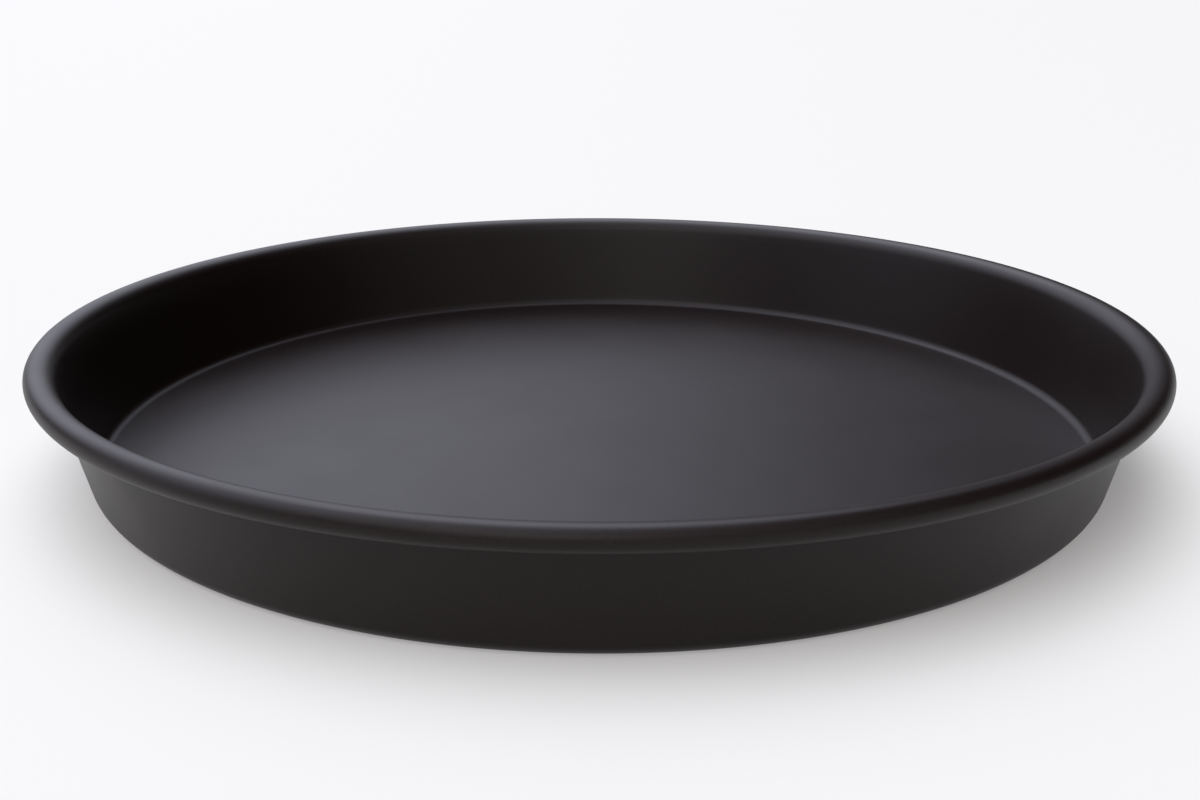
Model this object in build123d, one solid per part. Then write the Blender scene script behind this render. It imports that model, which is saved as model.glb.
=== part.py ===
from build123d import *
from math import acos, atan2, cos, degrees, hypot, radians, sin
import os

# A round deep-dish pan of thick aluminium sheet, with a bead curled over a wire ring.
# Millimetres, +Z up. The origin is the centre of the flat underside.

# Driving dimensions
rim_diameter = 370.0
overall_height = 40.0
flat_diameter = 330.0
sheet = 1.6
wire_diameter = 3.2
wire_clearance = 0.3

# Outer radii of the bend at the wall's foot and of the lip at its top
corner_radius = 5.0
lip_radius = 6.0

# Easing of the sheet's raw edge, at the end of the curl
raw_edge_radius = 0.4

# Angles, in degrees: how far the curl goes on from the crest of the rim, and the crest itself
curl_angle = 258.0
crest_angle = 90.0

# The sheet curls over the wire, and the crest of the rim is above the wire's centre
curl_radius = wire_diameter / 2 + wire_clearance + sheet
crest_distance = rim_diameter / 2 - curl_radius

# Centres of the bends, as distance from the axis and height
corner_centre = (flat_diameter / 2, corner_radius)
lip_centre = (crest_distance, overall_height - lip_radius)
curl_centre = (crest_distance, overall_height - curl_radius)


def wall_lean():
    """The wall's angle from upright, in degrees, at which it is tangent to corner and lip."""
    across = lip_centre[0] - corner_centre[0]
    rise = lip_centre[1] - corner_centre[1]
    reach = lip_radius + corner_radius - sheet
    return degrees(acos(reach / hypot(across, rise)) - atan2(rise, across))


def around(centre, radius, angle):
    """The point at a distance and an angle, in degrees, from a centre."""
    turn = radians(angle)
    return (centre[0] + radius * cos(turn), centre[1] + radius * sin(turn))


def sheet_section():
    """The sheet's section from the axis to the raw edge, as a face on the X-Y plane."""
    lean = wall_lean()
    lip_angle = crest_angle - lean
    corner_angle = crest_angle - lean
    curl_end = crest_angle - curl_angle
    wall_top = crest_angle + lip_angle

    corner_inside = corner_radius - sheet
    lip_inside = lip_radius - sheet
    curl_inside = curl_radius - sheet

    upper_side = [
        Line((0, sheet), around(corner_centre, corner_inside, -crest_angle)),
        CenterArc(corner_centre, corner_inside, -crest_angle, corner_angle),
        Line(around(corner_centre, corner_inside, -lean), around(lip_centre, lip_radius, wall_top)),
        CenterArc(lip_centre, lip_radius, wall_top, -lip_angle),
        CenterArc(curl_centre, curl_radius, crest_angle, -curl_angle),
    ]
    raw_edge = Line(around(curl_centre, curl_radius, curl_end), around(curl_centre, curl_inside, curl_end))
    lower_side = [
        CenterArc(curl_centre, curl_inside, curl_end, curl_angle),
        CenterArc(lip_centre, lip_inside, crest_angle, lip_angle),
        Line(around(lip_centre, lip_inside, wall_top), around(corner_centre, corner_radius, -lean)),
        CenterArc(corner_centre, corner_radius, -lean, -corner_angle),
        Line(around(corner_centre, corner_radius, -crest_angle), (0, 0)),
    ]
    on_axis = Line((0, 0), (0, sheet))
    section = make_face(Wire(upper_side + [raw_edge] + lower_side + [on_axis]))
    raw_corners = section.vertices().sort_by_distance(raw_edge @ 0.5)[:2]
    return fillet(raw_corners, raw_edge_radius)


def turned(section):
    """A section drawn on X-Y, stood up on X-Z and turned about the axis."""
    return revolve(Plane.XZ * section, Axis.Z)


def make_pan_shell():
    """Base, corner, wall, lip and bead, all of one sheet."""
    return turned(sheet_section())


def make_rim_wire():
    """The ring of round wire inside the bead."""
    return turned(Pos(*curl_centre) * Circle(wire_diameter / 2))


pieces = {
    "pan_shell": make_pan_shell(),
    "rim_wire": make_rim_wire(),
}

os.makedirs("parts", exist_ok=True)
for name, piece in pieces.items():
    export_step(piece, f"parts/{name}.step")
    print(name, "volume", round(piece.volume, 1), "box", piece.bounding_box())
print("wall leans out by", round(wall_lean(), 2), "degrees")
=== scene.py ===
"""Looks of a round deep-dish pan: one finely turned sheet in dark satin anodising, on a pale table."""
from math import acos, asin, atan2, cos, hypot, pi, radians, sin, tau

import bpy
from mathutils import Matrix, Vector


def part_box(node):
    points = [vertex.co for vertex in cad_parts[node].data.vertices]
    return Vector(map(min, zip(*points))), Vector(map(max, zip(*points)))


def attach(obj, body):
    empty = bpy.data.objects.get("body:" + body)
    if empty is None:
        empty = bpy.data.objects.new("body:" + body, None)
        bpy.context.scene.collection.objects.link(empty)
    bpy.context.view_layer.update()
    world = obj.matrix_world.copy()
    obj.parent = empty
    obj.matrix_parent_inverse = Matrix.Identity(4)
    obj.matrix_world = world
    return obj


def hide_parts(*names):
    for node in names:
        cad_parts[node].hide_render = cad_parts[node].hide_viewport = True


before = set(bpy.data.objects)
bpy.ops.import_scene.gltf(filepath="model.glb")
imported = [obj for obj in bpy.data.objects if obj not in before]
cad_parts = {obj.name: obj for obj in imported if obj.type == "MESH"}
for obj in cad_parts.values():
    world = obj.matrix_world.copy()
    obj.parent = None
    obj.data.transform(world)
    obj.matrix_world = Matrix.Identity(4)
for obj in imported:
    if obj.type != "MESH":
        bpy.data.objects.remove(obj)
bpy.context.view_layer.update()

# Millimetres are used for sizes and turned into metres once
MM = 0.001

# The pan's sizes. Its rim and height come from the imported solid
shell_low, shell_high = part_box("pan_shell")
rim_radius = min(shell_high.x, shell_high.y, -shell_low.x, -shell_low.y)
overall_height = shell_high.z
flat_radius = 165.0 * MM
sheet = 1.6 * MM
corner_radius = 5.0 * MM
lip_radius = 6.0 * MM
curl_radius = 3.5 * MM
raw_edge_radius = 0.4 * MM
curl_angle = radians(258)

# How finely the sheet is turned: steps round the axis, and steps in each stretch of the section.
# The raw edge has a round on each side of its flat
turn_steps = 720
flat_steps = 6
corner_steps = 12
wall_steps = 5
lip_steps = 10
curl_steps = 30
edge_round_steps = 4
edge_flat_steps = 2

# Noises: features per metre, number of finer layers, and strength of each layer next to the one before
sheet_grain = (1300.0, 4.0, 0.6)
sheet_clouds = (28.0, 3.0, 0.5)
sheet_waves = (9.0, 1.0, 0.5)
wire_grain = (1800.0, 3.0, 0.5)
wire_clouds = (60.0, 2.0, 0.5)

# Most of a noise lies between these values
noise_low = 0.3
noise_high = 0.7

# The sheet's finish: tones from its dark specks to its light ones, roughness from its glossier clouds
# to its duller ones, refractive index, and depths of its grain and waves
sheet_tones = ((0.0037, 0.0011, 0.0009), (0.0065, 0.0035, 0.0027))
sheet_roughness = (0.385, 0.415)
sheet_index = 1.30
sheet_grain_depth = 0.02 * MM
sheet_wave_depth = 0.25 * MM

# The wire's finish: tones from its dark clouds to its light ones, and roughness and depth of its grain
wire_tones = ((0.27, 0.27, 0.28), (0.33, 0.33, 0.34))
wire_roughness = (0.38, 0.5)
wire_grain_depth = 0.01 * MM

# The table: how far it reaches from the pan to each side, and its own finish
table_reach = 12.0
table_colour = (0.604, 0.586, 0.525)
table_roughness = 0.6
table_index = 1.3

# The white that the table and the room's horizon share, so that they meet unseen
studio_white = (0.93, 0.93, 0.955)

# How much of the table glows white: the share up to the pan's foot, and the share from the reach on. The
# rising glow is painted light that lightens and narrows the pan's shadow.
# Distances from the pan's middle are stretched first, so that the glow comes sooner at its front and back
glow_near = 0.2
glow_far = 0.75
glow_reach = 225.0 * MM
glow_stretch = (1.0, 1.09, 1.0)

# The room: its dim light all round, and the elevations at which its white horizon begins to fade and ends
room_colour = (0.01, 0.01, 0.011)
horizon_fade = radians(2)
horizon_top = radians(4)

# The soft lights: azimuth from +X towards +Y, elevation, and reach from a light's middle to its edge,
# all in degrees, and colour
soft_lights = [
    (170, 69, 46, (2.09, 2.15, 2.46)),
    (116, 37, 40, (2.01, 2.07, 2.40)),
    (190, 30, 40, (1.27, 1.30, 1.50)),
    (90, 60, 30, (2.72, 2.80, 3.22)),
    (250, 35, 32, (1.91, 1.82, 1.87)),
    (290, 35, 60, (0.74, 0.70, 0.72)),
]

# The photograph's width and its camera's focal length in pixels, and the sensor's width in millimetres
photo_width = 1200
focal_pixels = 1343.1
sensor_width = 36.0

# Where the camera stands, and how it is turned away from looking at the middle of the pan's underside
camera_distance = 476.46 * MM
camera_elevation = radians(19.1436)
camera_lift = radians(1.0073)
camera_swing = radians(-0.0228)
camera_roll = radians(0.1116)


# The section of the sheet

def around(centre, radius, angle):
    """The point at a distance and an angle from a centre."""
    return (centre[0] + radius * cos(angle), centre[1] + radius * sin(angle))


def arc(centre, radius, start, turn, steps):
    """Points along an arc, without its first one."""
    return [around(centre, radius, start + turn * step / steps) for step in range(1, steps + 1)]


def straight(start, end, steps):
    """Points along a straight stretch, closer together towards its ends, without its first one."""
    along = [(1.0 - cos(pi * step / steps)) / 2 for step in range(1, steps + 1)]
    return [(start[0] + (end[0] - start[0]) * t, start[1] + (end[1] - start[1]) * t) for t in along]


def sheet_section():
    """The sheet's section as (distance, height), from the axis over the upper side and back below."""
    crest = pi / 2
    crest_distance = rim_radius - curl_radius
    corner_centre = (flat_radius, corner_radius)
    lip_centre = (crest_distance, overall_height - lip_radius)
    curl_centre = (crest_distance, overall_height - curl_radius)

    across = lip_centre[0] - corner_centre[0]
    rise = lip_centre[1] - corner_centre[1]
    lean = acos((lip_radius + corner_radius - sheet) / hypot(across, rise)) - atan2(rise, across)
    bend = crest - lean
    wall_top = crest + bend
    curl_end = crest - curl_angle

    corner_inside = corner_radius - sheet
    lip_inside = lip_radius - sheet
    curl_inside = curl_radius - sheet
    outer_offset = asin(raw_edge_radius / (curl_radius - raw_edge_radius))
    inner_offset = asin(raw_edge_radius / (curl_inside + raw_edge_radius))
    outer_start = curl_end + outer_offset
    inner_start = curl_end + inner_offset
    edge_facing = curl_end - crest
    outer_round = around(curl_centre, curl_radius - raw_edge_radius, outer_start)
    inner_round = around(curl_centre, curl_inside + raw_edge_radius, inner_start)

    points = [(0.0, sheet)]
    points += straight(points[-1], around(corner_centre, corner_inside, -crest), flat_steps)
    points += arc(corner_centre, corner_inside, -crest, bend, corner_steps)
    points += straight(points[-1], around(lip_centre, lip_radius, wall_top), wall_steps)
    points += arc(lip_centre, lip_radius, wall_top, -bend, lip_steps)
    points += arc(curl_centre, curl_radius, crest, outer_offset - curl_angle, curl_steps)
    points += arc(outer_round, raw_edge_radius, outer_start, -crest - outer_offset, edge_round_steps)
    points += straight(points[-1], around(inner_round, raw_edge_radius, edge_facing), edge_flat_steps)
    points += arc(inner_round, raw_edge_radius, edge_facing, inner_offset - crest, edge_round_steps)
    points += arc(curl_centre, curl_inside, inner_start, curl_angle - inner_offset, curl_steps)
    points += arc(lip_centre, lip_inside, crest, bend, lip_steps)
    points += straight(points[-1], around(corner_centre, corner_radius, -lean), wall_steps)
    points += arc(corner_centre, corner_radius, -lean, -bend, corner_steps)
    points += straight(points[-1], (0.0, 0.0), flat_steps)
    return points


def add_object(name, data):
    """A new object in the scene."""
    item = bpy.data.objects.new(name, data)
    bpy.context.scene.collection.objects.link(item)
    return item


def turned(name, section):
    """A mesh object: the section turned about the axis, closed to a point at both of its ends."""
    ends = [(0.0, 0.0, section[0][1]), (0.0, 0.0, section[-1][1])]
    upper_end = 0
    lower_end = 1
    rings = section[1:-1]
    vertices = list(ends)
    for distance, height in rings:
        for step in range(turn_steps):
            angle = tau * step / turn_steps
            vertices.append((distance * cos(angle), distance * sin(angle), height))

    def corner(ring, step):
        """The number of a ring's vertex, counted from the two ends on."""
        return len(ends) + ring * turn_steps + step % turn_steps

    faces = []
    last = len(rings) - 1
    for step in range(turn_steps):
        faces.append((upper_end, corner(0, step), corner(0, step + 1)))
        faces.append((lower_end, corner(last, step + 1), corner(last, step)))
        for ring in range(last):
            faces.append((corner(ring, step), corner(ring + 1, step),
                          corner(ring + 1, step + 1), corner(ring, step + 1)))
    mesh = bpy.data.meshes.new(name)
    mesh.from_pydata(vertices, [], faces)
    mesh.update()
    mesh.shade_smooth()
    return add_object(name, mesh)


# Materials

def new_material(name):
    """A material with its node tree and its shader, ready for sockets to be set and linked."""
    material = bpy.data.materials.new(name)
    material.use_nodes = True
    return material, material.node_tree, material.node_tree.nodes["Principled BSDF"]


def noise(tree, coordinates, pattern):
    """A noise texture over coordinates in metres."""
    features, layers, strength = pattern
    node = tree.nodes.new("ShaderNodeTexNoise")
    node.inputs["Scale"].default_value = features
    node.inputs["Detail"].default_value = layers
    node.inputs["Roughness"].default_value = strength
    tree.links.new(coordinates, node.inputs["Vector"])
    return node.outputs["Fac"]


def remap(tree, value, low, high, start=noise_low, end=noise_high):
    """A value from start to end becomes one from low to high, smoothly."""
    node = tree.nodes.new("ShaderNodeMapRange")
    node.interpolation_type = "SMOOTHSTEP"
    node.inputs["From Min"].default_value = start
    node.inputs["From Max"].default_value = end
    node.inputs["To Min"].default_value = low
    node.inputs["To Max"].default_value = high
    tree.links.new(value, node.inputs["Value"])
    return node.outputs["Result"]


def maths(tree, operation, first, second):
    """The result of an operation on two values."""
    node = tree.nodes.new("ShaderNodeMath")
    node.operation = operation
    tree.links.new(first, node.inputs[0])
    tree.links.new(second, node.inputs[1])
    return node.outputs["Value"]


def vector_maths(tree, operation, *inputs):
    """A node that works on vectors or colours, each of them plain or taken from another node."""
    node = tree.nodes.new("ShaderNodeVectorMath")
    node.operation = operation
    for socket, given in zip(node.inputs, inputs):
        if isinstance(given, (tuple, Vector)):
            socket.default_value = given
        else:
            tree.links.new(given, socket)
    return node


def tones(tree, value, low, high):
    """A value from 0 to 1 becomes a colour between two. The low one may be a node's own colour."""
    node = tree.nodes.new("ShaderNodeMix")
    node.data_type = "RGBA"
    if isinstance(low, tuple):
        node.inputs["A"].default_value = (*low, 1.0)
    else:
        tree.links.new(low, node.inputs["A"])
    node.inputs["B"].default_value = (*high, 1.0)
    tree.links.new(value, node.inputs["Factor"])
    return node.outputs["Result"]


def bumps(tree, shader, layers):
    """Chains bump nodes, each from (height value, depth in metres), into the shader."""
    normal = None
    for height, depth in layers:
        node = tree.nodes.new("ShaderNodeBump")
        node.inputs["Distance"].default_value = depth
        tree.links.new(height, node.inputs["Height"])
        if normal:
            tree.links.new(normal, node.inputs["Normal"])
        normal = node.outputs["Normal"]
    tree.links.new(normal, shader.inputs["Normal"])


def anodised_sheet():
    """Dark hard anodising: satin, nearly black, with a fine matt grain and faint clouding."""
    material, tree, shader = new_material("dark_anodised_sheet")
    coordinates = tree.nodes.new("ShaderNodeTexCoord").outputs["Object"]
    grain = noise(tree, coordinates, sheet_grain)
    clouds = noise(tree, coordinates, sheet_clouds)
    waves = noise(tree, coordinates, sheet_waves)
    specks = remap(tree, grain, 0.0, 1.0)
    tree.links.new(tones(tree, specks, *sheet_tones), shader.inputs["Base Color"])
    tree.links.new(remap(tree, clouds, *sheet_roughness), shader.inputs["Roughness"])
    shader.inputs["IOR"].default_value = sheet_index
    bumps(tree, shader, [(grain, sheet_grain_depth), (waves, sheet_wave_depth)])
    return material


def drawn_wire():
    """Dull drawn aluminium wire, with a fine grain and faint clouding."""
    material, tree, shader = new_material("rim_wire_metal")
    coordinates = tree.nodes.new("ShaderNodeTexCoord").outputs["Object"]
    grain = noise(tree, coordinates, wire_grain)
    clouds = noise(tree, coordinates, wire_clouds)
    shade = remap(tree, clouds, 0.0, 1.0)
    tree.links.new(tones(tree, shade, *wire_tones), shader.inputs["Base Color"])
    tree.links.new(remap(tree, grain, *wire_roughness), shader.inputs["Roughness"])
    shader.inputs["Metallic"].default_value = 1.0
    bumps(tree, shader, [(grain, wire_grain_depth)])
    return material


# The pan

def make_pan_shell():
    """The whole sheet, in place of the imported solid."""
    piece = turned("pan_shell_sheet", sheet_section())
    piece.data.materials.append(anodised_sheet())
    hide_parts("pan_shell")
    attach(piece, "root")


def finish_rim_wire():
    """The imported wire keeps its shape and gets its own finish."""
    finish = drawn_wire()
    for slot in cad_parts["rim_wire"].material_slots:
        slot.material = finish


# The studio

def table_top():
    """A pale matt table. Its shadow is kept, but painted light lightens and narrows it: a white glow,
    weak at the pan's foot, that turns the table evenly white away from the pan.
    """
    material, tree, shader = new_material("table_top")
    shader.inputs["Base Color"].default_value = (*table_colour, 1.0)
    shader.inputs["Roughness"].default_value = table_roughness
    shader.inputs["IOR"].default_value = table_index
    material.cycles.emission_sampling = "NONE"

    coordinates = tree.nodes.new("ShaderNodeTexCoord").outputs["Object"]
    stretched = vector_maths(tree, "MULTIPLY", coordinates, glow_stretch).outputs["Vector"]
    distance = vector_maths(tree, "LENGTH", stretched).outputs["Value"]
    # Painted light: the glow rises with distance from the pan's foot, lightening and narrowing its shadow
    share = remap(tree, distance, glow_near, glow_far, flat_radius, glow_reach)
    path = tree.nodes.new("ShaderNodeLightPath")
    seen = path.outputs["Is Camera Ray"]
    for ray in ("Is Glossy Ray", "Is Transmission Ray"):
        seen = maths(tree, "MAXIMUM", seen, path.outputs[ray])

    glow = tree.nodes.new("ShaderNodeEmission")
    glow.inputs["Color"].default_value = (*studio_white, 1.0)
    mix = tree.nodes.new("ShaderNodeMixShader")
    tree.links.new(maths(tree, "MULTIPLY", share, seen), mix.inputs["Fac"])
    tree.links.new(shader.outputs["BSDF"], mix.inputs[1])
    tree.links.new(glow.outputs["Emission"], mix.inputs[2])
    tree.links.new(mix.outputs["Shader"], tree.nodes["Material Output"].inputs["Surface"])
    return material


def make_table():
    """A pale table that reaches past the frame on all sides."""
    reach = table_reach
    corners = [(-reach, -reach, 0.0), (reach, -reach, 0.0), (reach, reach, 0.0), (-reach, reach, 0.0)]
    mesh = bpy.data.meshes.new("table")
    mesh.from_pydata(corners, [], [(0, 1, 2, 3)])
    mesh.materials.append(table_top())
    table = add_object("table", mesh)


def towards(azimuth, elevation):
    """The direction of an azimuth and an elevation, both in degrees."""
    level = cos(radians(elevation))
    return Vector((*around((0.0, 0.0), level, radians(azimuth)), sin(radians(elevation))))


def make_world():
    """A dim room with a white horizon and broad soft lights, each brightest at its middle."""
    world = bpy.data.worlds.new("room")
    bpy.context.scene.world = world
    world.use_nodes = True
    tree = world.node_tree
    direction = tree.nodes.new("ShaderNodeTexCoord").outputs["Generated"]
    light = room_colour
    for azimuth, elevation, reach, colour in soft_lights:
        middle = towards(azimuth, elevation)
        facing = vector_maths(tree, "DOT_PRODUCT", direction, middle).outputs["Value"]
        spread = remap(tree, facing, 0.0, 1.0, cos(radians(reach)), 1.0)
        light = vector_maths(tree, "MULTIPLY_ADD", spread, colour, light).outputs["Vector"]

    height = tree.nodes.new("ShaderNodeSeparateXYZ")
    tree.links.new(direction, height.inputs["Vector"])
    horizon = remap(tree, height.outputs["Z"], 0.0, 1.0, sin(horizon_top), sin(horizon_fade))
    tree.links.new(tones(tree, horizon, light, studio_white), tree.nodes["Background"].inputs["Color"])


def make_camera():
    """The photograph's camera, in front of the pan and a little above it."""
    lens = bpy.data.cameras.new("camera")
    lens.sensor_width = sensor_width
    lens.lens = focal_pixels * sensor_width / photo_width
    camera = add_object("camera", lens)
    place = Vector((0.0, -cos(camera_elevation), sin(camera_elevation))) * camera_distance
    look = Matrix.Rotation(camera_swing, 4, "Z")
    look @= Matrix.Rotation(pi / 2 - camera_elevation + camera_lift, 4, "X")
    look @= Matrix.Rotation(camera_roll, 4, "Z")
    camera.matrix_world = Matrix.Translation(place) @ look
    bpy.context.scene.camera = camera


make_pan_shell()
finish_rim_wire()
make_table()
make_world()
make_camera()
bpy.context.scene.view_settings.view_transform = "Standard"
